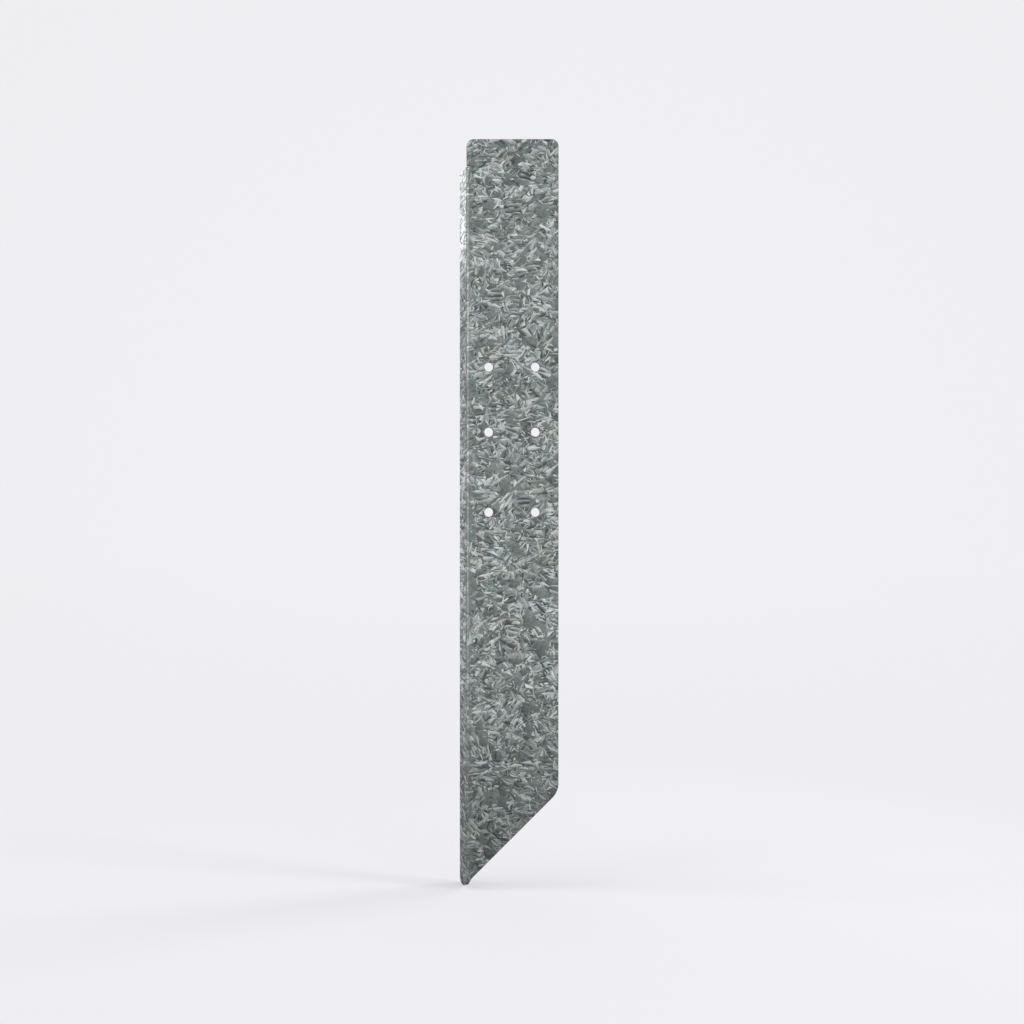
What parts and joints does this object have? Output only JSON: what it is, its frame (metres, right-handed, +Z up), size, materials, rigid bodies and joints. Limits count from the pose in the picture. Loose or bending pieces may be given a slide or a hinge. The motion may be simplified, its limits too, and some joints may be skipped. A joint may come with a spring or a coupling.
{
  "type": "post anchor spike",
  "caption": "Galvanised sheet steel stake with an L section, a slanted driving point and screw holes, driven beside a fence post and screwed to it.",
  "frame": {"origin": "middle of the bounding box, at the lowest point of the tip", "axes": "+Z up to the driven end, +X across the plate away from the flange, +Y from the plate's front face to the flange's free edge"},
  "size_m": [0.0914, 0.035, 0.75],
  "materials": {
    "zinc_sheet": "hot-dip galvanised, spangled"
  },
  "bodies": {
    "root": {"folded_stake": "zinc_sheet"}
  },
  "joints": []
}
